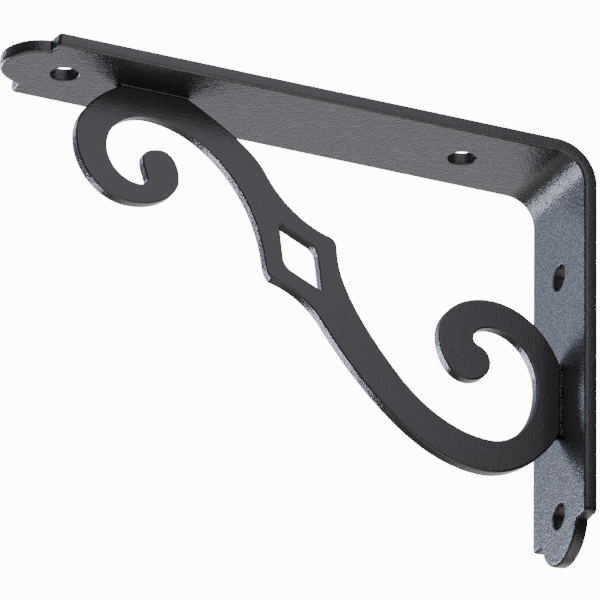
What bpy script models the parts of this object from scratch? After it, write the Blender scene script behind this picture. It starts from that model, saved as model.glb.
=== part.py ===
"""Scroll shelf bracket: a flat bar bent to a right angle, braced by a flat scroll plate.

The blank of the bar is cut with a rounded tongue at each end and four screw holes,
its arrises are rounded, and it is bent over a former. The scroll is one plate cut on edge,
with two curls and a pierced diamond, and it is welded under the arm and in front of the leg.

The origin is on the leg's back, which goes against the wall, midway between its two holes.
+X points into the wall, the arm runs out along -X, and +Z is up. Sizes are in millimetres
and angles in degrees; add_plate turns the lengths to metres.
"""
import math

import bmesh
import bpy
from mathutils.geometry import tessellate_polygon

METRES_PER_MM = 0.001

# The flat bar
BAR_WIDTH = 29.2
BAR_THICKNESS = 3.25
BACK_ARRIS = 0.3           # radius along its edges on the side of the wall and the shelf
FRONT_ARRIS = 0.8          # radius along its edges on the side of the scroll
ARM_REACH = 150.0          # from the wall face to the tip of the arm
LEG_DROP = 105.0           # from the shelf face to the tip of the leg
BEND_INNER_RADIUS = 7.2
BEND_TURN = 90.0

# The rounded tongue at each end of the bar, between two shoulders
TONGUE_RADIUS = 10.0
SHOULDER_FROM_TIP = 8.3    # where the shoulder meets the side of the bar
SHOULDER_SLANT = 0.3       # how much nearer the tip its inner end is
SHOULDER_RADIUS = 1.3

# Screw holes on the centre line
ARM_HOLE_DIAMETER = 6.8
LEG_HOLE_DIAMETER = 6.4
HOLE_ARRIS = 0.4
ARM_HOLES_OUT = (29.2, 134.0)      # from the wall face
LEG_HOLES_DOWN = (29.5, 92.5)      # from the shelf face

# The scroll plate, which stands on edge on the bar's centre line
SCROLL_THICKNESS = 3.0
SCROLL_ARRIS = 0.4
WELD_GAP = 0.3             # clear of the bar, where the weld bridges it
WELD_LINE = BAR_THICKNESS + WELD_GAP

# The diamond pierced through the middle of the scroll
DIAMOND_OUT = 72.25
DIAMOND_DOWN = 39.0
DIAMOND_HALF_LENGTH = 9.6
DIAMOND_HALF_WIDTH = 5.4
DIAMOND_TILT = 126.5
DIAMOND_SIDE_RADIUS = 4.0
DIAMOND_TIP_RADIUS = 0.3

# Headings along an outline, seen from the front with the wall on the right
TO_WALL = 0.0
UP = 90.0
OUTWARD = 180.0
DOWN = 270.0

# The scroll's edge, as (out from the wall face, down from the shelf face, heading).
# Each stretch between two stations is part of an ellipse that is tangent to both headings.
# From the arm weld, round the small curl and down under the stem to the leg weld:
LOWER_EDGE = (
    (119.49, WELD_LINE, 207.5),    # outer end of the arm weld
    (131.25, 18.25, DOWN),         # small curl, furthest out
    (117.00, 33.75, TO_WALL),      # small curl, lowest
    (104.25, 25.25, UP),           # eye of the small curl
    (109.00, 18.50, OUTWARD),
    (113.75, 21.25, DOWN),
    (113.25, 24.25, 290.0),
    (112.50, 26.75, DOWN),         # root of the eye
    (114.50, 28.50, OUTWARD),
    (123.25, 19.75, UP),           # inside of the small curl
    (112.00, 10.50, TO_WALL),
    (93.75, 18.25, 317.5),         # outer side of the stem
    (81.50, 42.00, 277.5),
    (79.25, 46.25, 347.5),         # lower point of the bulge
    (66.00, 55.25, 305.0),
    (45.50, 77.00, 322.5),
    (23.75, 85.25, TO_WALL),       # large curl, lowest
    (WELD_LINE, 71.44, 60.0),      # lower end of the leg weld
)
# From the leg weld, round the large curl and back up the stem to the arm weld:
UPPER_EDGE = (
    (WELD_LINE, 53.40, 112.5),     # upper end of the leg weld
    (21.75, 40.00, OUTWARD),       # large curl, highest
    (35.75, 51.25, DOWN),
    (28.00, 62.00, TO_WALL),       # eye of the large curl
    (22.00, 56.75, UP),
    (25.00, 52.50, 162.5),
    (26.50, 50.75, UP),            # root of the eye
    (21.25, 47.25, TO_WALL),
    (9.75, 61.00, DOWN),           # inside of the large curl
    (22.00, 76.75, OUTWARD),
    (46.00, 64.75, 132.5),         # wall side of the stem
    (61.25, 42.25, 110.0),
    (62.75, 34.50, 92.5),
    (64.75, 32.00, 165.0),         # upper point of the bulge
    (82.00, 18.25, 120.0),
    (102.27, WELD_LINE, 152.5),    # inner end of the arm weld
)

# How finely round stretches are cut into flats
DEGREES_PER_FLAT = 8.0
DEGREES_PER_CORNER_FLAT = 16.0
HOLE_FLATS = 28
ARRIS_FLATS = 2
BEND_FLATS = 12
SHARP_DEGREES = 30.0       # edges that turn by more than this are shaded as edges

# Powder coat, as linear red, green and blue
STRAP_COLOUR = (0.045, 0.045, 0.050)
SCROLL_COLOUR = (0.040, 0.040, 0.043)
COAT_ROUGHNESS = 0.5

# Worked out from the sizes above
SHELF_FACE_HEIGHT = sum(LEG_HOLES_DOWN) / len(LEG_HOLES_DOWN)   # above the origin
HALF_WIDTH = BAR_WIDTH / 2
BEND_OUTER_RADIUS = BEND_INNER_RADIUS + BAR_THICKNESS
BEND_MIDDLE_RADIUS = BEND_INNER_RADIUS + BAR_THICKNESS / 2
ARM_STRAIGHT = ARM_REACH - BEND_OUTER_RADIUS
LEG_STRAIGHT = LEG_DROP - BEND_OUTER_RADIUS
BEND_LENGTH = math.radians(BEND_TURN) * BEND_MIDDLE_RADIUS
BLANK_LENGTH = ARM_STRAIGHT + BEND_LENGTH + LEG_STRAIGHT


def clear_scene():
    for thing in list(bpy.data.objects):
        bpy.data.objects.remove(thing, do_unlink=True)


def powder_coat(name, colour):
    """The black coat, one material for each piece."""
    material = bpy.data.materials.new(name)
    material.use_nodes = True
    shader = material.node_tree.nodes["Principled BSDF"]
    shader.inputs["Base Color"].default_value = (*colour, 1.0)
    shader.inputs["Roughness"].default_value = COAT_ROUGHNESS
    shader.inputs["Metallic"].default_value = 0.0
    return material


def elliptic_stretch(start, end):
    """Points after start up to end on the ellipse tangent to both stations' headings."""
    (x0, y0, heading0), (x1, y1, heading1) = start, end
    turn = (heading1 - heading0 + 180) % 360 - 180
    flats = max(2, math.ceil(abs(turn) / DEGREES_PER_FLAT))
    out0, out1 = math.radians(heading0), math.radians(heading1)
    way0 = (math.cos(out0), math.sin(out0))
    way1 = (math.cos(out1), math.sin(out1))
    cross = way0[0] * way1[1] - way0[1] * way1[0]
    reach = ((x1 - x0) * way1[1] - (y1 - y0) * way1[0]) / cross
    corner = (x0 + reach * way0[0], y0 + reach * way0[1])
    whole = math.radians(abs(turn))
    points = []
    for flat in range(1, flats + 1):
        part = whole * flat / flats
        to_end = (1 - math.cos(part)) / (1 - math.cos(whole))
        to_corner = math.sin(part) / math.tan(whole / 2) - to_end * math.cos(whole)
        points.append((
            x0 + to_corner * (corner[0] - x0) + to_end * (x1 - corner[0]),
            y0 + to_corner * (corner[1] - y0) + to_end * (y1 - corner[1]),
        ))
    return points


def edge_points(edge):
    """One edge of the scroll, in x from the wall face and height from the shelf face."""
    stations = [(-out, -down, heading) for out, down, heading in edge]
    points = [stations[0][:2]]
    for start, end in zip(stations, stations[1:]):
        points += elliptic_stretch(start, end)
    return points


def rounded_corner(before, corner, after, radius):
    """Points of the arc that rounds a corner between two straight sides."""
    way_in = math.atan2(corner[1] - before[1], corner[0] - before[0])
    way_out = math.atan2(after[1] - corner[1], after[0] - corner[0])
    turn = (way_out - way_in + math.pi) % (2 * math.pi) - math.pi
    setback = radius * math.tan(abs(turn) / 2)
    side = math.copysign(1, turn)
    centre = (
        corner[0] - setback * math.cos(way_in) - side * radius * math.sin(way_in),
        corner[1] - setback * math.sin(way_in) + side * radius * math.cos(way_in),
    )
    flats = max(2, math.ceil(math.degrees(abs(turn)) / DEGREES_PER_CORNER_FLAT))
    points = []
    for flat in range(flats + 1):
        angle = way_in - side * math.pi / 2 + turn * flat / flats
        points.append((centre[0] + radius * math.cos(angle), centre[1] + radius * math.sin(angle)))
    return points


def diamond_points():
    """The pierced diamond, clockwise: two sharp tips and two well rounded sides."""
    tilt = math.radians(DIAMOND_TILT)
    long_way = (math.cos(tilt) * DIAMOND_HALF_LENGTH, math.sin(tilt) * DIAMOND_HALF_LENGTH)
    short_way = (math.sin(tilt) * DIAMOND_HALF_WIDTH, -math.cos(tilt) * DIAMOND_HALF_WIDTH)
    corners = []
    for end in (1, -1):
        for way, radius in ((long_way, DIAMOND_TIP_RADIUS), (short_way, DIAMOND_SIDE_RADIUS)):
            corners.append(((end * way[0] - DIAMOND_OUT, end * way[1] - DIAMOND_DOWN), radius))
    points = []
    for index, (corner, radius) in enumerate(corners):
        before = corners[index - 1][0]
        after = corners[(index + 1) % len(corners)][0]
        points += rounded_corner(before, corner, after, radius)
    return points


def tongue_points():
    """One end of the blank, from its +y side to its -y side, with its tip at length 0."""
    shoulder_end = SHOULDER_FROM_TIP - SHOULDER_SLANT
    rise = TONGUE_RADIUS - shoulder_end
    root_half_width = math.sqrt(TONGUE_RADIUS ** 2 - rise ** 2)
    side = (SHOULDER_FROM_TIP + BAR_WIDTH, HALF_WIDTH)
    corner = (SHOULDER_FROM_TIP, HALF_WIDTH)
    root = (shoulder_end, root_half_width)
    half = rounded_corner(side, corner, root, SHOULDER_RADIUS)
    start = math.asin(root_half_width / TONGUE_RADIUS)
    flats = math.ceil(math.degrees(start) / DEGREES_PER_FLAT)
    for flat in range(flats):
        angle = start * (1 - flat / flats)
        half.append((TONGUE_RADIUS * (1 - math.cos(angle)), TONGUE_RADIUS * math.sin(angle)))
    return half + [(0.0, 0.0)] + [(along, -across) for along, across in reversed(half)]


def hole_points(along, radius):
    """A screw hole on the blank's centre line, clockwise."""
    points = []
    for flat in range(HOLE_FLATS):
        angle = -2 * math.pi * flat / HOLE_FLATS
        points.append((along + radius * math.cos(angle), radius * math.sin(angle)))
    return points


def inset_ring(loop, inset):
    """The loop moved towards the metal, which lies on the left of its direction."""
    ring = []
    for index, (x, y) in enumerate(loop):
        before = loop[index - 1]
        after = loop[(index + 1) % len(loop)]
        lefts = []
        for start, end in ((before, (x, y)), ((x, y), after)):
            length = math.dist(start, end)
            lefts.append((-(end[1] - start[1]) / length, (end[0] - start[0]) / length))
        (ax, ay), (bx, by) = lefts
        spread = 1 + ax * bx + ay * by
        ring.append((x + inset * (ax + bx) / spread, y + inset * (ay + by) / spread))
    return ring


def arris_profile(thickness, arrises):
    """From one face to the other, as (inset from the edge, height), round both arrises."""
    profile = []
    for side, arris in zip((-1, 1), arrises):
        rounding = []
        for flat in range(ARRIS_FLATS + 1):
            angle = math.pi / 2 * flat / ARRIS_FLATS
            depth = thickness / 2 - arris * (1 - math.cos(angle))
            rounding.append((arris * (1 - math.sin(angle)), side * depth))
        profile += rounding[::-side]
    return profile


def plate_mesh(cuts, thickness):
    """A plate flat in x and y. Each cut is a loop and its two arrises, the outer cut first."""
    shape = bmesh.new()
    first_rings, last_rings = [], []
    for loop, arrises in cuts:
        rings = []
        for inset, height in arris_profile(thickness, arrises):
            rings.append([shape.verts.new((x, y, height)) for x, y in inset_ring(loop, inset)])
        for lower, upper in zip(rings, rings[1:]):
            for index in range(len(loop)):
                shape.faces.new((lower[index - 1], lower[index], upper[index], upper[index - 1]))
        first_rings.append(rings[0])
        last_rings.append(rings[-1])
    for rings in (first_rings, last_rings):
        corners = [vertex for ring in rings for vertex in ring]
        for triangle in tessellate_polygon([[vertex.co for vertex in ring] for ring in rings]):
            shape.faces.new([corners[index] for index in triangle])
    return shape


def bend_blank(shape):
    """Cuts flats across the bend zone and bends the flat blank round the former."""
    for cut in range(BEND_FLATS + 1):
        along = ARM_STRAIGHT + BEND_LENGTH * cut / BEND_FLATS
        everything = shape.verts[:] + shape.edges[:] + shape.faces[:]
        bmesh.ops.bisect_plane(shape, geom=everything, plane_co=(along, 0, 0), plane_no=(1, 0, 0))
    for vertex in shape.verts:
        along, across, depth = vertex.co
        angle = min(max((along - ARM_STRAIGHT) / BEND_MIDDLE_RADIUS, 0), math.radians(BEND_TURN))
        radius = BEND_MIDDLE_RADIUS - depth
        before_bend = min(along - ARM_STRAIGHT, 0)
        after_bend = max(along - ARM_STRAIGHT - BEND_LENGTH, 0)
        vertex.co = (
            -BEND_OUTER_RADIUS + before_bend + radius * math.sin(angle),
            across,
            -BEND_OUTER_RADIUS - after_bend + radius * math.cos(angle),
        )


def add_plate(name, shape, material):
    """Puts a shape drawn from the wall face and the shelf face at its place, in metres."""
    for vertex in shape.verts:
        vertex.co.z += SHELF_FACE_HEIGHT
        vertex.co *= METRES_PER_MM
    shape.normal_update()
    bmesh.ops.recalc_face_normals(shape, faces=shape.faces[:])
    mesh = bpy.data.meshes.new(name)
    shape.to_mesh(mesh)
    shape.free()
    mesh.materials.append(material)
    mesh.shade_smooth()
    mesh.set_sharp_from_angle(angle=math.radians(SHARP_DEGREES))
    bpy.context.scene.collection.objects.link(bpy.data.objects.new(name, mesh))


def make_strap():
    """The bent bar: shelf arm and wall leg in one."""
    near_end = tongue_points()
    far_end = [(BLANK_LENGTH - along, -across) for along, across in near_end]
    cuts = [(near_end + far_end, (BACK_ARRIS, FRONT_ARRIS))]
    holes = [hole_points(ARM_REACH - out, ARM_HOLE_DIAMETER / 2) for out in ARM_HOLES_OUT]
    for down in LEG_HOLES_DOWN:
        holes.append(hole_points(BLANK_LENGTH - LEG_DROP + down, LEG_HOLE_DIAMETER / 2))
    cuts += [(hole, (HOLE_ARRIS, HOLE_ARRIS)) for hole in holes]
    shape = plate_mesh(cuts, BAR_THICKNESS)
    bend_blank(shape)
    add_plate("strap", shape, powder_coat("strap powder coat", STRAP_COLOUR))


def make_scroll():
    """The scroll plate, cut in one and stood on edge."""
    outline = edge_points(LOWER_EDGE) + edge_points(UPPER_EDGE)
    arrises = (SCROLL_ARRIS, SCROLL_ARRIS)
    shape = plate_mesh([(outline, arrises), (diamond_points(), arrises)], SCROLL_THICKNESS)
    for vertex in shape.verts:
        x, height, depth = vertex.co
        vertex.co = (x, depth, height)
    add_plate("scroll", shape, powder_coat("scroll powder coat", SCROLL_COLOUR))


def main():
    clear_scene()
    make_strap()
    make_scroll()


main()
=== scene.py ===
"""Looks of the scroll shelf bracket: black powder coat over a bent flat bar and a scroll plate.

The bar and the scroll are made again here with finer flats, in the places of the CAD nodes
that they replace. Plan sizes are in millimetres from the wall face and the shelf face.
Meshes are in metres in the frame of the CAD model: +X into the wall, +Z up.
"""
import math

import bmesh
import bpy
from mathutils import Matrix, Vector
from mathutils.geometry import tessellate_polygon


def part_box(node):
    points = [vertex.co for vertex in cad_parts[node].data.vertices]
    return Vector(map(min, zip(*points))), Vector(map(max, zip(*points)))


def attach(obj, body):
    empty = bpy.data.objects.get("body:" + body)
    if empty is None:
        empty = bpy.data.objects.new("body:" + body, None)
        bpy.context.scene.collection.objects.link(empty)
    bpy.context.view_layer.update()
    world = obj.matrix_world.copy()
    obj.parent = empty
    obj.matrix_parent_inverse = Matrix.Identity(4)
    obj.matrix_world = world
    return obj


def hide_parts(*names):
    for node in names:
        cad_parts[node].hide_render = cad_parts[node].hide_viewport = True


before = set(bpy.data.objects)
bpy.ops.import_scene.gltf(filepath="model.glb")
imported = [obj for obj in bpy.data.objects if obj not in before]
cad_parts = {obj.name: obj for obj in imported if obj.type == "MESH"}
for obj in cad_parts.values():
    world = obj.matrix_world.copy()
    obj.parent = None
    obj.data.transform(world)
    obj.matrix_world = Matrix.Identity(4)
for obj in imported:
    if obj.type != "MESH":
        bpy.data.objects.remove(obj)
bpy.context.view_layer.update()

METRES_PER_MM = 0.001

# The flat bar, read from its solid
STRAP_LOW, STRAP_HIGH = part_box("strap")
BAR_WIDTH = (STRAP_HIGH.y - STRAP_LOW.y) / METRES_PER_MM
ARM_REACH = (STRAP_HIGH.x - STRAP_LOW.x) / METRES_PER_MM
LEG_DROP = (STRAP_HIGH.z - STRAP_LOW.z) / METRES_PER_MM
SHELF_FACE = STRAP_HIGH.z / METRES_PER_MM     # height of the shelf face above the origin

BAR_THICKNESS = 3.25
BACK_ARRIS = 0.3           # on the side of the wall and the shelf
FRONT_ARRIS = 0.8          # on the side of the scroll
SIDE_CROWN = 0.12          # how far the bar's narrow sides bulge at their middle
SIDE_LEAN = 0.15           # how much further in they stand at the back than at the front
BEND_INNER_RADIUS = 7.2
TONGUE_RADIUS = 10.0
SHOULDER_FROM_TIP = 8.3
SHOULDER_SLANT = 0.3
SHOULDER_RADIUS = 1.3
ARM_HOLE_DIAMETER = 6.8
LEG_HOLE_DIAMETER = 6.4
HOLE_ARRIS = 0.4
ARM_HOLES_OUT = (29.2, 134.0)
LEG_HOLES_DOWN = (29.5, 92.5)

# The scroll plate
SCROLL_THICKNESS = 3.0
SCROLL_ARRIS = 0.4
WELD_LINE = 3.55
DIAMOND_OUT = 72.25
DIAMOND_DOWN = 39.0
DIAMOND_HALF_LENGTH = 9.6
DIAMOND_HALF_WIDTH = 5.4
DIAMOND_TILT = 126.5
DIAMOND_SIDE_RADIUS = 4.0
DIAMOND_TIP_RADIUS = 0.3

# Headings along an outline, seen from the front with the wall on the right
TO_WALL = 0.0
UP = 90.0
OUTWARD = 180.0
DOWN = 270.0

# The scroll's edge, as (out from the wall face, down from the shelf face, heading).
# Each stretch between two stations is part of an ellipse that is tangent to both headings.
ARM_WELD_OUT = (119.49, 102.27)
LEG_WELD_DOWN = (53.40, 71.44)
LOWER_EDGE = (
    (ARM_WELD_OUT[0], WELD_LINE, 207.5),
    (131.25, 18.25, DOWN),         # small curl, furthest out
    (117.00, 33.75, TO_WALL),      # small curl, lowest
    (104.25, 25.25, UP),           # eye of the small curl
    (109.00, 18.50, OUTWARD),
    (113.75, 21.25, DOWN),
    (113.25, 24.25, 290.0),
    (112.50, 26.75, DOWN),         # root of the eye
    (114.50, 28.50, OUTWARD),
    (123.25, 19.75, UP),           # inside of the small curl
    (112.00, 10.50, TO_WALL),
    (93.75, 18.25, 317.5),         # outer side of the stem
    (81.50, 42.00, 277.5),
    (79.25, 46.25, 347.5),         # lower point of the bulge
    (66.00, 55.25, 305.0),
    (45.50, 77.00, 322.5),
    (23.75, 85.25, TO_WALL),       # large curl, lowest
    (WELD_LINE, LEG_WELD_DOWN[1], 60.0),
)
UPPER_EDGE = (
    (WELD_LINE, LEG_WELD_DOWN[0], 112.5),
    (21.75, 40.00, OUTWARD),       # large curl, highest
    (35.75, 51.25, DOWN),
    (28.00, 62.00, TO_WALL),       # eye of the large curl
    (22.00, 56.75, UP),
    (25.00, 52.50, 162.5),
    (26.50, 50.75, UP),            # root of the eye
    (21.25, 47.25, TO_WALL),
    (9.75, 61.00, DOWN),           # inside of the large curl
    (22.00, 76.75, OUTWARD),
    (46.00, 64.75, 132.5),         # wall side of the stem
    (61.25, 42.25, 110.0),
    (62.75, 34.50, 92.5),
    (64.75, 32.00, 165.0),         # upper point of the bulge
    (82.00, 18.25, 120.0),
    (ARM_WELD_OUT[1], WELD_LINE, 152.5),
)

# How finely round stretches are cut into flats
DEGREES_PER_FLAT = 3.0
DEGREES_PER_CORNER_FLAT = 9.0
HOLE_FLATS = 72
ARRIS_FLATS = 6
CROWN_FLATS = 6
BEND_FLATS = 40
HOLDING_STRIP = 0.12       # flat strip beside each arris that keeps the faces' shading flat
SHARP_DEGREES = 40.0

# Worked out from the sizes above
HALF_WIDTH = BAR_WIDTH / 2
BEND_OUTER_RADIUS = BEND_INNER_RADIUS + BAR_THICKNESS
BEND_MIDDLE_RADIUS = BEND_INNER_RADIUS + BAR_THICKNESS / 2
ARM_STRAIGHT = ARM_REACH - BEND_OUTER_RADIUS
LEG_STRAIGHT = LEG_DROP - BEND_OUTER_RADIUS
BEND_LENGTH = math.pi / 2 * BEND_MIDDLE_RADIUS
BLANK_LENGTH = ARM_STRAIGHT + BEND_LENGTH + LEG_STRAIGHT

# The camera, fitted to the photo: a long lens from below, in front and to the left
IMAGE_SIZE = 600.0
CAMERA_AZIMUTH = 24.8291           # degrees it looks towards +X from +Y
CAMERA_ELEVATION = 25.1784         # degrees it looks up
CAMERA_ROLL = 0.5375
CORNER_PIXEL = (571.0979, 169.6082)    # where the corner of wall face and shelf face shows
PIXELS_PER_MM = 4.1454
FOCAL_PIXELS = 15000.0
SENSOR_MM = 36.0
CLIP_START = 0.1                   # metres from the camera
CLIP_END = 200.0


def linear(code):
    """An sRGB hex colour as linear red, green, blue and alpha."""
    channels = []
    for start in (1, 3, 5):
        value = int(code[start:start + 2], 16) / 255
        channels.append(value / 12.92 if value <= 0.04045 else ((value + 0.055) / 1.055) ** 2.4)
    return (*channels, 1.0)


def add_node(tree, kind, settings=None, inputs=None):
    """Adds a node with its settings, and fills its inputs with values or other nodes' outputs."""
    node = tree.nodes.new(kind)
    for name, value in (settings or {}).items():
        setattr(node, name, value)
    for key, value in (inputs or {}).items():
        if isinstance(value, bpy.types.NodeSocket):
            tree.links.new(value, node.inputs[key])
        else:
            node.inputs[key].default_value = value
    return node


# Outlines

def elliptic_stretch(start, end):
    """Points after start up to end on the ellipse tangent to both stations' headings."""
    (x0, y0, heading0), (x1, y1, heading1) = start, end
    turn = (heading1 - heading0 + 180) % 360 - 180
    flats = max(2, math.ceil(abs(turn) / DEGREES_PER_FLAT))
    out0, out1 = math.radians(heading0), math.radians(heading1)
    way0 = (math.cos(out0), math.sin(out0))
    way1 = (math.cos(out1), math.sin(out1))
    cross = way0[0] * way1[1] - way0[1] * way1[0]
    reach = ((x1 - x0) * way1[1] - (y1 - y0) * way1[0]) / cross
    corner = (x0 + reach * way0[0], y0 + reach * way0[1])
    whole = math.radians(abs(turn))
    points = []
    for flat in range(1, flats + 1):
        part = whole * flat / flats
        to_end = (1 - math.cos(part)) / (1 - math.cos(whole))
        to_corner = math.sin(part) / math.tan(whole / 2) - to_end * math.cos(whole)
        points.append((
            x0 + to_corner * (corner[0] - x0) + to_end * (x1 - corner[0]),
            y0 + to_corner * (corner[1] - y0) + to_end * (y1 - corner[1]),
        ))
    return points


def edge_points(edge):
    """One edge of the scroll, in x from the wall face and height from the shelf face."""
    stations = [(-out, -down, heading) for out, down, heading in edge]
    points = [stations[0][:2]]
    for start, end in zip(stations, stations[1:]):
        points += elliptic_stretch(start, end)
    return points


def rounded_corner(before, corner, after, radius):
    """Points of the arc that rounds a corner between two straight sides."""
    way_in = math.atan2(corner[1] - before[1], corner[0] - before[0])
    way_out = math.atan2(after[1] - corner[1], after[0] - corner[0])
    turn = (way_out - way_in + math.pi) % (2 * math.pi) - math.pi
    setback = radius * math.tan(abs(turn) / 2)
    side = math.copysign(1, turn)
    centre = (
        corner[0] - setback * math.cos(way_in) - side * radius * math.sin(way_in),
        corner[1] - setback * math.sin(way_in) + side * radius * math.cos(way_in),
    )
    flats = max(2, math.ceil(math.degrees(abs(turn)) / DEGREES_PER_CORNER_FLAT))
    points = []
    for flat in range(flats + 1):
        angle = way_in - side * math.pi / 2 + turn * flat / flats
        points.append((centre[0] + radius * math.cos(angle), centre[1] + radius * math.sin(angle)))
    return points


def diamond_points():
    """The pierced diamond, clockwise: two sharp tips and two well rounded sides."""
    tilt = math.radians(DIAMOND_TILT)
    long_way = (math.cos(tilt) * DIAMOND_HALF_LENGTH, math.sin(tilt) * DIAMOND_HALF_LENGTH)
    short_way = (math.sin(tilt) * DIAMOND_HALF_WIDTH, -math.cos(tilt) * DIAMOND_HALF_WIDTH)
    corners = []
    for end in (1, -1):
        for way, radius in ((long_way, DIAMOND_TIP_RADIUS), (short_way, DIAMOND_SIDE_RADIUS)):
            corners.append(((end * way[0] - DIAMOND_OUT, end * way[1] - DIAMOND_DOWN), radius))
    points = []
    for index, (corner, radius) in enumerate(corners):
        before = corners[index - 1][0]
        after = corners[(index + 1) % len(corners)][0]
        points += rounded_corner(before, corner, after, radius)
    return points


def tongue_points():
    """One end of the blank, from its +y side to its -y side, with its tip at length 0."""
    shoulder_end = SHOULDER_FROM_TIP - SHOULDER_SLANT
    rise = TONGUE_RADIUS - shoulder_end
    root_half_width = math.sqrt(TONGUE_RADIUS ** 2 - rise ** 2)
    side = (SHOULDER_FROM_TIP + BAR_WIDTH, HALF_WIDTH)
    corner = (SHOULDER_FROM_TIP, HALF_WIDTH)
    root = (shoulder_end, root_half_width)
    half = rounded_corner(side, corner, root, SHOULDER_RADIUS)
    start = math.asin(root_half_width / TONGUE_RADIUS)
    flats = math.ceil(math.degrees(start) / DEGREES_PER_FLAT)
    for flat in range(flats):
        angle = start * (1 - flat / flats)
        half.append((TONGUE_RADIUS * (1 - math.cos(angle)), TONGUE_RADIUS * math.sin(angle)))
    return half + [(0.0, 0.0)] + [(along, -across) for along, across in reversed(half)]


def hole_points(along, radius):
    """A screw hole on the blank's centre line, clockwise."""
    points = []
    for flat in range(HOLE_FLATS):
        angle = -2 * math.pi * flat / HOLE_FLATS
        points.append((along + radius * math.cos(angle), radius * math.sin(angle)))
    return points


def inset_ring(loop, inset):
    """The loop moved towards the metal, which lies on the left of its direction."""
    ring = []
    for index, (x, y) in enumerate(loop):
        before = loop[index - 1]
        after = loop[(index + 1) % len(loop)]
        lefts = []
        for start, end in ((before, (x, y)), ((x, y), after)):
            length = math.dist(start, end)
            lefts.append((-(end[1] - start[1]) / length, (end[0] - start[0]) / length))
        (ax, ay), (bx, by) = lefts
        spread = 1 + ax * bx + ay * by
        ring.append((x + inset * (ax + bx) / spread, y + inset * (ay + by) / spread))
    return ring


# Plates

def arris_profile(thickness, arrises, crown, lean):
    """From one face to the other, as (inset from the edge, height), round both arrises.

    The crown bulges the side between them, and the lean sets its back further in.
    """
    low, high = (side * (thickness / 2 - arris) for side, arris in zip((-1, 1), arrises))
    crown_steps = [(step + 1) / (CROWN_FLATS + 1) for step in range(CROWN_FLATS)]
    profile = []
    for side, arris in zip((-1, 1), arrises):
        rounding = [(arris + HOLDING_STRIP, side * thickness / 2)]
        for flat in range(ARRIS_FLATS + 1):
            angle = math.pi / 2 * flat / ARRIS_FLATS
            depth = thickness / 2 - arris * (1 - math.cos(angle))
            rounding.append((arris * (1 - math.sin(angle)), side * depth))
        rounding.append((0.0, side * (thickness / 2 - arris - HOLDING_STRIP)))
        profile += rounding[::-side]
        if crown and side < 0:
            profile += [(0.0, low + (high - low) * step) for step in crown_steps]
    shaped = []
    for inset, height in profile:
        from_middle = 2 * height / thickness
        crown_inset = crown * from_middle ** 2
        lean_inset = lean * (1 - from_middle) / 2
        shaped.append((inset + crown_inset + lean_inset, height))
    return shaped


def edge_band(shape, loop, thickness, arrises, crown=0.0, lean=0.0):
    """The band of faces round one loop, arrises and all. Returns its rings on the two faces."""
    rings = []
    for inset, height in arris_profile(thickness, arrises, crown, lean):
        rings.append([shape.verts.new((x, y, height)) for x, y in inset_ring(loop, inset)])
    for lower, upper in zip(rings, rings[1:]):
        for index in range(len(loop)):
            shape.faces.new((lower[index - 1], lower[index], upper[index], upper[index - 1]))
    return rings[0], rings[-1]


def fill_face(shape, rings):
    """Fills a plate's flat face between rings of vertices, the outer one first."""
    corners = [vertex for ring in rings for vertex in ring]
    for triangle in tessellate_polygon([[vertex.co for vertex in ring] for ring in rings]):
        shape.faces.new([corners[index] for index in triangle])


def finished_mesh(name, shape):
    """A mesh made of a shape, with its faces outwards. The shape is used up."""
    shape.normal_update()
    bmesh.ops.recalc_face_normals(shape, faces=shape.faces[:])
    mesh = bpy.data.meshes.new(name)
    shape.to_mesh(mesh)
    shape.free()
    return mesh


def new_piece(name, mesh):
    piece = bpy.data.objects.new(name, mesh)
    bpy.context.scene.collection.objects.link(piece)
    return piece


def soften(mesh):
    """Shades round stretches smooth and keeps sharp corners sharp."""
    mesh.shade_smooth()
    mesh.set_sharp_from_angle(angle=math.radians(SHARP_DEGREES))


# The bent strap

def flat_blank():
    """The bar before it is bent: length along x, width along y, the wall and shelf side down."""
    cuts = [ARM_STRAIGHT + BEND_LENGTH * cut / BEND_FLATS for cut in range(BEND_FLATS + 1)]
    near_end = tongue_points()
    far_end = [(BLANK_LENGTH - along, -across) for along, across in near_end]
    outline = near_end + [(along, -HALF_WIDTH) for along in cuts]
    outline += far_end + [(along, HALF_WIDTH) for along in reversed(cuts)]
    shape = bmesh.new()
    outer_arrises = (BACK_ARRIS, FRONT_ARRIS)
    outer_faces = edge_band(shape, outline, BAR_THICKNESS, outer_arrises, SIDE_CROWN, SIDE_LEAN)
    hole_arrises = (HOLE_ARRIS, HOLE_ARRIS)
    arm_faces, leg_faces = [], []
    for out in ARM_HOLES_OUT:
        hole = hole_points(ARM_REACH - out, ARM_HOLE_DIAMETER / 2)
        arm_faces.append(edge_band(shape, hole, BAR_THICKNESS, hole_arrises))
    for down in LEG_HOLES_DOWN:
        hole = hole_points(BLANK_LENGTH - LEG_DROP + down, LEG_HOLE_DIAMETER / 2)
        leg_faces.append(edge_band(shape, hole, BAR_THICKNESS, hole_arrises))
    first_cut = len(near_end)
    far_start = first_cut + len(cuts)
    last_cut = far_start + len(far_end)
    for side in (0, 1):
        ring = outer_faces[side]
        near_side = ring[first_cut:far_start]
        far_side = ring[last_cut:][::-1]
        for index in range(BEND_FLATS):
            shape.faces.new((
                near_side[index], near_side[index + 1], far_side[index + 1], far_side[index],
            ))
        arm_ring = ring[:first_cut] + [near_side[0], far_side[0]]
        leg_ring = ring[far_start:last_cut] + [far_side[-1], near_side[-1]]
        fill_face(shape, [arm_ring] + [faces[side] for faces in arm_faces])
        fill_face(shape, [leg_ring] + [faces[side] for faces in leg_faces])
    for vertex in shape.verts:
        vertex.co *= METRES_PER_MM
    return finished_mesh("strap blank", shape)


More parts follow.
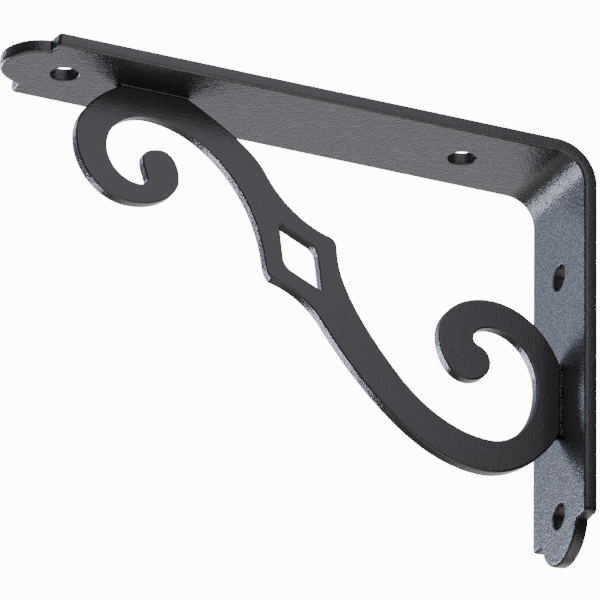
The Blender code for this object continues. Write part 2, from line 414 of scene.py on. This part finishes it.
def bending_tree():
    """Bends a flat blank round a former, as a press brake does, about the bar's middle line."""
    tree = bpy.data.node_groups.new("bend a flat blank", "GeometryNodeTree")
    sockets = tree.interface
    sockets.new_socket("Blank", in_out="INPUT", socket_type="NodeSocketGeometry")
    for name in ("Arm Straight", "Middle Radius", "Outer Radius", "Turn", "Shelf Face"):
        sockets.new_socket(name, in_out="INPUT", socket_type="NodeSocketFloat")
    sockets.new_socket("Finish", in_out="INPUT", socket_type="NodeSocketMaterial")
    sockets.new_socket("Strap", in_out="OUTPUT", socket_type="NodeSocketGeometry")
    given = add_node(tree, "NodeGroupInput").outputs
    place = add_node(tree, "GeometryNodeInputPosition")
    split = add_node(tree, "ShaderNodeSeparateXYZ", inputs={0: place.outputs[0]}).outputs

    def math_step(operation, *values):
        inputs = dict(enumerate(values))
        return add_node(tree, "ShaderNodeMath", {"operation": operation}, inputs).outputs[0]

    past_arm = math_step("SUBTRACT", split["X"], given["Arm Straight"])
    turned = math_step("DIVIDE", past_arm, given["Middle Radius"])
    angle = math_step("MINIMUM", math_step("MAXIMUM", turned, 0.0), given["Turn"])
    radius = math_step("SUBTRACT", given["Middle Radius"], split["Z"])
    on_arm = math_step("MINIMUM", past_arm, 0.0)
    bend_length = math_step("MULTIPLY", given["Middle Radius"], given["Turn"])
    on_leg = math_step("MAXIMUM", math_step("SUBTRACT", past_arm, bend_length), 0.0)
    sideways = math_step("MULTIPLY", radius, math_step("SINE", angle))
    upwards = math_step("MULTIPLY", radius, math_step("COSINE", angle))
    out = math_step("ADD", math_step("SUBTRACT", on_arm, given["Outer Radius"]), sideways)
    corner_height = math_step("SUBTRACT", given["Shelf Face"], given["Outer Radius"])
    height = math_step("ADD", math_step("SUBTRACT", corner_height, on_leg), upwards)
    bent = add_node(tree, "ShaderNodeCombineXYZ", inputs={"X": out, "Y": split["Y"], "Z": height})
    moved = add_node(tree, "GeometryNodeSetPosition", inputs={
        "Geometry": given["Blank"], "Position": bent.outputs[0],
    })
    # The bend mirrors the blank, so its faces are flipped to point outwards again.
    flipped = add_node(tree, "GeometryNodeFlipFaces", inputs={"Mesh": moved.outputs[0]})
    real = add_node(tree, "GeometryNodeRealizeInstances", inputs={0: flipped.outputs[0]})
    coated = add_node(tree, "GeometryNodeSetMaterial", inputs={
        "Geometry": real.outputs[0], "Material": given["Finish"],
    })
    add_node(tree, "NodeGroupOutput", inputs={0: coated.outputs[0]})
    return tree


def grow(name, base_mesh, tree, values):
    """Runs a geometry node tree on a mesh and returns the result as a plain piece."""
    piece = new_piece(name, base_mesh)
    modifier = piece.modifiers.new(tree.name, "NODES")
    modifier.node_group = tree
    for item in tree.interface.items_tree:
        if item.in_out == "INPUT" and item.name in values:
            modifier[item.identifier] = values[item.name]
    evaluated = piece.evaluated_get(bpy.context.evaluated_depsgraph_get())
    made = bpy.data.meshes.new_from_object(evaluated)
    piece.modifiers.remove(modifier)
    piece.data = made
    made.name = name
    return piece


def make_strap(finish):
    strap = grow("bent_strap", flat_blank(), bending_tree(), {
        "Arm Straight": ARM_STRAIGHT * METRES_PER_MM,
        "Middle Radius": BEND_MIDDLE_RADIUS * METRES_PER_MM,
        "Outer Radius": BEND_OUTER_RADIUS * METRES_PER_MM,
        "Turn": math.pi / 2,
        "Shelf Face": SHELF_FACE * METRES_PER_MM,
        "Finish": finish,
    })
    soften(strap.data)
    return strap


# The scroll plate

def make_scroll(finish):
    outline = edge_points(LOWER_EDGE) + edge_points(UPPER_EDGE)
    shape = bmesh.new()
    arrises = (SCROLL_ARRIS, SCROLL_ARRIS)
    bands = [
        edge_band(shape, loop, SCROLL_THICKNESS, arrises) for loop in (outline, diamond_points())
    ]
    for side in (0, 1):
        fill_face(shape, [band[side] for band in bands])
    for vertex in shape.verts:
        x, height, depth = vertex.co
        vertex.co = Vector((x, depth, height + SHELF_FACE)) * METRES_PER_MM
    mesh = finished_mesh("scroll_plate", shape)
    mesh.materials.append(finish)
    soften(mesh)
    return new_piece("scroll_plate", mesh)


# The welds

ARM_WELD = (0.3, 0.3, 0.04, 3)     # bead spacing, radius and wander, and the seed
LEG_WELD = (0.75, 0.42, 0.22, 7)
BEAD_SIZES = (0.8, 1.25)           # smallest and largest, as shares of the bead radius


def weld_lines(ends):
    """Two straight lines between the same ends, one on each side of the plate."""
    corners = []
    for y in (-SCROLL_THICKNESS / 2, SCROLL_THICKNESS / 2):
        for x, height in ends:
            corners.append(Vector((x, y, height + SHELF_FACE)) * METRES_PER_MM)
    mesh = bpy.data.meshes.new("weld lines")
    mesh.from_pydata(corners, [(0, 1), (2, 3)], [])
    return mesh


def weld_tree():
    """Strings overlapping beads along each line of a mesh, every one a little out of place."""
    tree = bpy.data.node_groups.new("string weld beads", "GeometryNodeTree")
    sockets = tree.interface
    sockets.new_socket("Lines", in_out="INPUT", socket_type="NodeSocketGeometry")
    for name in ("Bead Spacing", "Bead Radius", "Bead Wander"):
        sockets.new_socket(name, in_out="INPUT", socket_type="NodeSocketFloat")
    sockets.new_socket("Seed", in_out="INPUT", socket_type="NodeSocketInt")
    sockets.new_socket("Finish", in_out="INPUT", socket_type="NodeSocketMaterial")
    sockets.new_socket("Welds", in_out="OUTPUT", socket_type="NodeSocketGeometry")
    given = add_node(tree, "NodeGroupInput").outputs
    curve = add_node(tree, "GeometryNodeMeshToCurve", inputs={"Mesh": given["Lines"]})
    points = add_node(tree, "GeometryNodeCurveToPoints", {"mode": "LENGTH"}, {
        "Curve": curve.outputs[0], "Length": given["Bead Spacing"],
    })
    size = add_node(tree, "FunctionNodeRandomValue", {"data_type": "FLOAT"}, {
        "Min": BEAD_SIZES[0], "Max": BEAD_SIZES[1], "Seed": given["Seed"],
    })
    wander = add_node(tree, "FunctionNodeRandomValue", {"data_type": "FLOAT_VECTOR"}, {
        0: (-1.0, -1.0, -1.0), 1: (1.0, 1.0, 1.0), "Seed": given["Seed"],
    })
    shift = add_node(tree, "ShaderNodeVectorMath", {"operation": "SCALE"}, {
        0: wander.outputs[0], "Scale": given["Bead Wander"],
    })
    placed = add_node(tree, "GeometryNodeSetPosition", inputs={
        "Geometry": points.outputs["Points"], "Offset": shift.outputs[0],
    })
    bead = add_node(tree, "GeometryNodeMeshIcoSphere", inputs={
        "Radius": given["Bead Radius"], "Subdivisions": 2,
    })
    smooth = add_node(tree, "GeometryNodeSetShadeSmooth", inputs={
        "Geometry": bead.outputs["Mesh"],
    })
    strung = add_node(tree, "GeometryNodeInstanceOnPoints", inputs={
        "Points": placed.outputs[0], "Instance": smooth.outputs[0], "Scale": size.outputs[1],
    })
    real = add_node(tree, "GeometryNodeRealizeInstances", inputs={0: strung.outputs[0]})
    coated = add_node(tree, "GeometryNodeSetMaterial", inputs={
        "Geometry": real.outputs[0], "Material": given["Finish"],
    })
    add_node(tree, "NodeGroupOutput", inputs={0: coated.outputs[0]})
    return tree


def make_welds(finish):
    """A close smooth seam under the arm, and a row of separate beads down the leg."""
    tree = weld_tree()
    middle_of_gap = (BAR_THICKNESS + WELD_LINE) / 2
    arm_ends = [(-out, -middle_of_gap) for out in ARM_WELD_OUT]
    leg_ends = [(-middle_of_gap, -down) for down in LEG_WELD_DOWN]
    welds = []
    for name, ends, beads in (("arm_weld", arm_ends, ARM_WELD), ("leg_weld", leg_ends, LEG_WELD)):
        spacing, radius, wander, seed = beads
        welds.append(grow(name, weld_lines(ends), tree, {
            "Bead Spacing": spacing * METRES_PER_MM,
            "Bead Radius": radius * METRES_PER_MM,
            "Bead Wander": wander * METRES_PER_MM,
            "Seed": seed,
            "Finish": finish,
        }))
    return welds


# Finishes

COAT_COLOUR = "#1F1F21"
COAT_IOR = 1.5
GRAIN_MM = 0.50            # the powder's grain is about 0.3 mm, drawn coarser so that it shows
WAVE_MM = 2.4              # pitch of the soft waves under the grain
WAVE_SHARE = 0.4           # their height as a share of the grain's
GRAIN_RANGE = (0.3, 0.7)   # where nearly all of the grain's noise lies
BAR_COAT = (0.14, (0.22, 0.32))        # height of the grain in mm, and roughness
PLATE_COAT = (0.08, (0.17, 0.26))


def powder_coat(name, grain_height, roughness):
    """Black polyester powder coat, baked on steel: a fine dense grain that breaks the
    highlights into sparkle, over soft waves where the powder flowed as it melted. It is
    rougher on the blasted hot-rolled bar than on the smooth plate of the scroll."""
    material = bpy.data.materials.new(name)
    material.use_nodes = True
    tree = material.node_tree
    shader = tree.nodes["Principled BSDF"]
    place = add_node(tree, "ShaderNodeTexCoord").outputs["Object"]
    specks = add_node(tree, "ShaderNodeTexNoise", {"noise_dimensions": "3D"}, {
        "Vector": place, "Scale": 1 / (GRAIN_MM * METRES_PER_MM),
        "Detail": 1.5, "Roughness": 0.55,
    })
    waves = add_node(tree, "ShaderNodeTexNoise", {"noise_dimensions": "3D"}, {
        "Vector": place, "Scale": 1 / (WAVE_MM * METRES_PER_MM), "Detail": 2.0,
    })
    height = add_node(tree, "ShaderNodeMath", {"operation": "MULTIPLY_ADD"}, {
        0: waves.outputs[0], 1: WAVE_SHARE, 2: specks.outputs[0],
    })
    bump = add_node(tree, "ShaderNodeBump", inputs={
        "Strength": 1.0, "Distance": grain_height * METRES_PER_MM, "Height": height.outputs[0],
    })
    tree.links.new(bump.outputs[0], shader.inputs["Normal"])
    gloss = add_node(tree, "ShaderNodeMapRange", inputs={
        "Value": specks.outputs[0], "From Min": GRAIN_RANGE[0], "From Max": GRAIN_RANGE[1],
        "To Min": roughness[0], "To Max": roughness[1],
    })
    tree.links.new(gloss.outputs[0], shader.inputs["Roughness"])
    shader.inputs["Base Color"].default_value = linear(COAT_COLOUR)
    shader.inputs["Metallic"].default_value = 0.0
    shader.inputs["IOR"].default_value = COAT_IOR
    return material


# Stage

FLOOR_HEIGHT = -6.0        # the stage is in metres
FLOOR_RADIUS = 80.0
FLOOR_SIDES = 96
FLOOR_COLOUR = "#D9D6D0"
FLOOR_GLOW = 3.0           # brightness the floor has of its own
BACKDROP_LEVEL = 13.0      # brightness of the white backdrop as the camera sees it
FADE_FROM = 8.0            # the floor fades into the backdrop between these distances
FADE_TO = 16.0

# The studio as the bracket reflects it. A stop is the height of a direction, and its tint.
SWEEP_LEVEL = 2.4
BEHIND = (0.0, 0.5)        # towards +Y, from the room to what lies behind the bracket
TO_RIGHT = (-0.05, 0.33)   # towards +X, from the dim side to the sweep
SWEEP = (                  # behind the bracket and to its right
    (-1.00, (1.00, 0.97, 0.94)),
    (-0.85, (0.85, 0.82, 0.80)),
    (-0.74, (0.18, 0.17, 0.16)),
    (-0.66, (0.18, 0.17, 0.16)),
    (-0.51, (0.65, 0.64, 0.69)),
    (0.25, (0.65, 0.65, 0.71)),
    (0.50, (0.34, 0.36, 0.42)),
    (1.00, (0.30, 0.30, 0.32)),
)
DIM_SIDE = (               # behind the bracket and to its left
    (-1.00, (1.00, 0.97, 0.94)),
    (-0.85, (0.85, 0.82, 0.80)),
    (-0.70, (0.15, 0.14, 0.13)),
    (-0.30, (0.15, 0.14, 0.13)),
    (-0.10, (0.22, 0.21, 0.20)),
    (0.20, (0.18, 0.19, 0.23)),
    (1.00, (0.24, 0.25, 0.28)),
)
ROOM = (                   # in front of the bracket
    (-1.00, (1.00, 0.97, 0.94)),
    (-0.80, (0.80, 0.78, 0.76)),
    (-0.60, (0.15, 0.15, 0.15)),
    (-0.50, (0.06, 0.06, 0.06)),
    (0.45, (0.04, 0.04, 0.045)),
    (1.00, (0.30, 0.30, 0.32)),
)


def make_floor():
    """A plain pale floor far below, which brightens into the white backdrop with distance."""
    shape = bmesh.new()
    bmesh.ops.create_circle(shape, cap_ends=True, segments=FLOOR_SIDES, radius=FLOOR_RADIUS)
    mesh = finished_mesh("floor", shape)
    for vertex in mesh.vertices:
        vertex.co.z = FLOOR_HEIGHT
    material = bpy.data.materials.new("matt paper floor")
    material.use_nodes = True
    tree = material.node_tree
    shader = tree.nodes["Principled BSDF"]
    place = add_node(tree, "ShaderNodeTexCoord").outputs["Object"]
    flat = add_node(tree, "ShaderNodeVectorMath", {"operation": "MULTIPLY"}, {
        0: place, 1: (1.0, 1.0, 0.0),
    })
    away = add_node(tree, "ShaderNodeVectorMath", {"operation": "LENGTH"}, {0: flat.outputs[0]})
    fade = add_node(tree, "ShaderNodeMapRange", {"interpolation_type": "SMOOTHSTEP"}, {
        "Value": away.outputs["Value"], "From Min": FADE_FROM, "From Max": FADE_TO,
    })
    colour = add_node(tree, "ShaderNodeMix", {"data_type": "RGBA"}, {
        "Factor": fade.outputs[0], 6: linear(FLOOR_COLOUR), 7: linear("#000000"),
    })
    tree.links.new(colour.outputs[2], shader.inputs["Base Color"])
    glow = add_node(tree, "ShaderNodeMath", {"operation": "MULTIPLY_ADD"}, {
        0: fade.outputs[0], 1: BACKDROP_LEVEL - FLOOR_GLOW, 2: FLOOR_GLOW,
    })
    tree.links.new(glow.outputs[0], shader.inputs["Emission Strength"])
    shader.inputs["Emission Color"].default_value = (1.0, 1.0, 1.0, 1.0)
    shader.inputs["Roughness"].default_value = 1.0
    shader.inputs["Specular IOR Level"].default_value = 0.0
    mesh.materials.append(material)
    floor = new_piece("floor", mesh)
    floor.visible_glossy = False
    floor.visible_diffuse = False


def brightness_by_height(tree, height, stops):
    """Brightness and tint of the studio against the height of a direction, from stops."""
    scale = add_node(tree, "ShaderNodeMapRange", inputs={
        "Value": height, "From Min": -1.0, "From Max": 1.0,
    })
    ramp = add_node(tree, "ShaderNodeValToRGB", inputs={"Fac": scale.outputs[0]})
    ends = ramp.color_ramp.elements
    for level, colour in stops[1:-1]:
        ends.new((level + 1) / 2).color = (*colour, 1.0)
    for element, (level, colour) in ((ends[0], stops[0]), (ends[len(ends) - 1], stops[-1])):
        element.position = (level + 1) / 2
        element.color = (*colour, 1.0)
    return ramp.outputs["Color"]


def make_world():
    """White all round for the eye. As light, a white sweep behind and a dim room in front."""
    world = bpy.data.worlds.new("studio")
    bpy.context.scene.world = world
    world.use_nodes = True
    tree = world.node_tree
    background = tree.nodes["Background"]
    way = add_node(tree, "ShaderNodeTexCoord").outputs["Generated"]
    split = add_node(tree, "ShaderNodeSeparateXYZ", inputs={0: way}).outputs
    sweep = brightness_by_height(tree, split["Z"], SWEEP)
    dim_side = brightness_by_height(tree, split["Z"], DIM_SIDE)
    room = brightness_by_height(tree, split["Z"], ROOM)
    behind = add_node(tree, "ShaderNodeMapRange", {"interpolation_type": "SMOOTHSTEP"}, {
        "Value": split["Y"], "From Min": BEHIND[0], "From Max": BEHIND[1],
    })
    to_right = add_node(tree, "ShaderNodeMapRange", {"interpolation_type": "SMOOTHSTEP"}, {
        "Value": split["X"], "From Min": TO_RIGHT[0], "From Max": TO_RIGHT[1],
    })
    back = add_node(tree, "ShaderNodeMix", {"data_type": "RGBA"}, {
        "Factor": to_right.outputs[0], 6: dim_side, 7: sweep,
    })
    light = add_node(tree, "ShaderNodeMix", {"data_type": "RGBA"}, {
        "Factor": behind.outputs[0], 6: room, 7: back.outputs[2],
    })
    scaled = add_node(tree, "ShaderNodeVectorMath", {"operation": "SCALE"}, {
        0: light.outputs[2], "Scale": SWEEP_LEVEL,
    })
    seen = add_node(tree, "ShaderNodeLightPath").outputs["Is Camera Ray"]
    backdrop = (BACKDROP_LEVEL, BACKDROP_LEVEL, BACKDROP_LEVEL, 1.0)
    colour = add_node(tree, "ShaderNodeMix", {"data_type": "RGBA"}, {
        "Factor": seen, 6: scaled.outputs[0], 7: backdrop,
    })
    tree.links.new(colour.outputs[2], background.inputs["Color"])
    background.inputs["Strength"].default_value = 1.0


# The soft lights stand upright and parallel to the scroll. Sizes and places are in metres.
BACK_LIGHTS_Y = 0.30
BACK_LIGHTS = {            # middle in x and z, width and height, brightness, tint
    "back strip": ((-0.204, -0.014), (0.064, 0.212), 24.0, (0.88, 0.96, 1.20)),
    "back strip above": ((-0.197, 0.195), (0.05, 0.15), 6.4, (0.84, 0.95, 1.28)),
}
FRONT_LIGHTS_Y = -0.12
FRONT_LIGHTS_Z = 0.125
FRONT_LIGHTS_HEIGHT = 0.27
FRONT_LIGHTS_TINT = (1.0, 0.97, 1.06)
FRONT_LIGHTS = {           # middle in x, width, brightness: side by side, dimmer to the right
    "front softbox": (-0.11, 0.20, 1.6),
    "front fill": (0.010, 0.040, 1.35),
    "front edge": (0.038, 0.016, 1.15),
    "front end": (0.056, 0.020, 0.25),
}


def add_softbox(name, centre, facing, size, brightness, tint):
    """A soft rectangular light with a given brightness of its face."""
    width, height = size
    light = bpy.data.lights.new(name, "AREA")
    light.shape = "RECTANGLE"
    light.size = width
    light.size_y = height
    light.color = tint
    light.energy = brightness * math.pi * width * height
    lamp = bpy.data.objects.new(name, light)
    lamp.location = centre
    lamp.rotation_euler = Vector(facing).to_track_quat("-Z", "Y").to_euler()
    lamp.visible_camera = False
    bpy.context.scene.collection.objects.link(lamp)


def make_lights():
    for name, ((x, z), size, brightness, tint) in BACK_LIGHTS.items():
        add_softbox(name, (x, BACK_LIGHTS_Y, z), (0, -1, 0), size, brightness, tint)
    for name, (x, width, brightness) in FRONT_LIGHTS.items():
        centre = (x, FRONT_LIGHTS_Y, FRONT_LIGHTS_Z)
        size = (width, FRONT_LIGHTS_HEIGHT)
        add_softbox(name, centre, (0, 1, 0), size, brightness, FRONT_LIGHTS_TINT)


def make_camera():
    """A long lens aimed by the fit, with nothing shifted."""
    azimuth, elevation, roll = (
        math.radians(angle) for angle in (CAMERA_AZIMUTH, CAMERA_ELEVATION, CAMERA_ROLL)
    )
    ahead = Vector((
        math.sin(azimuth) * math.cos(elevation),
        math.cos(azimuth) * math.cos(elevation),
        math.sin(elevation),
    ))
    level_right = Vector((math.cos(azimuth), -math.sin(azimuth), 0.0))
    level_up = level_right.cross(ahead)
    right = math.cos(roll) * level_right + math.sin(roll) * level_up
    up = math.cos(roll) * level_up - math.sin(roll) * level_right
    distance = FOCAL_PIXELS / PIXELS_PER_MM
    aside = (CORNER_PIXEL[0] - IMAGE_SIZE / 2) / FOCAL_PIXELS * distance
    above = (IMAGE_SIZE / 2 - CORNER_PIXEL[1]) / FOCAL_PIXELS * distance
    corner = Vector((0.0, 0.0, SHELF_FACE))
    place = corner - aside * right - above * up - distance * ahead
    data = bpy.data.cameras.new("camera")
    data.sensor_width = SENSOR_MM
    data.lens = FOCAL_PIXELS / IMAGE_SIZE * SENSOR_MM
    data.clip_start = CLIP_START
    data.clip_end = CLIP_END
    camera = bpy.data.objects.new("camera", data)
    turn = Matrix((right, up, -ahead)).transposed().to_4x4()
    camera.matrix_world = Matrix.Translation(place * METRES_PER_MM) @ turn
    bpy.context.scene.collection.objects.link(camera)
    bpy.context.scene.camera = camera


def main():
    make_camera()
    bar_coat = powder_coat("coarse black powder coat", *BAR_COAT)
    plate_coat = powder_coat("fine black powder coat", *PLATE_COAT)
    strap = make_strap(bar_coat)
    scroll = make_scroll(plate_coat)
    welds = make_welds(plate_coat)
    for piece in (strap, scroll, *welds):
        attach(piece, "root")
    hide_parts("strap")
    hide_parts("scroll")
    make_floor()
    make_world()
    make_lights()


main()
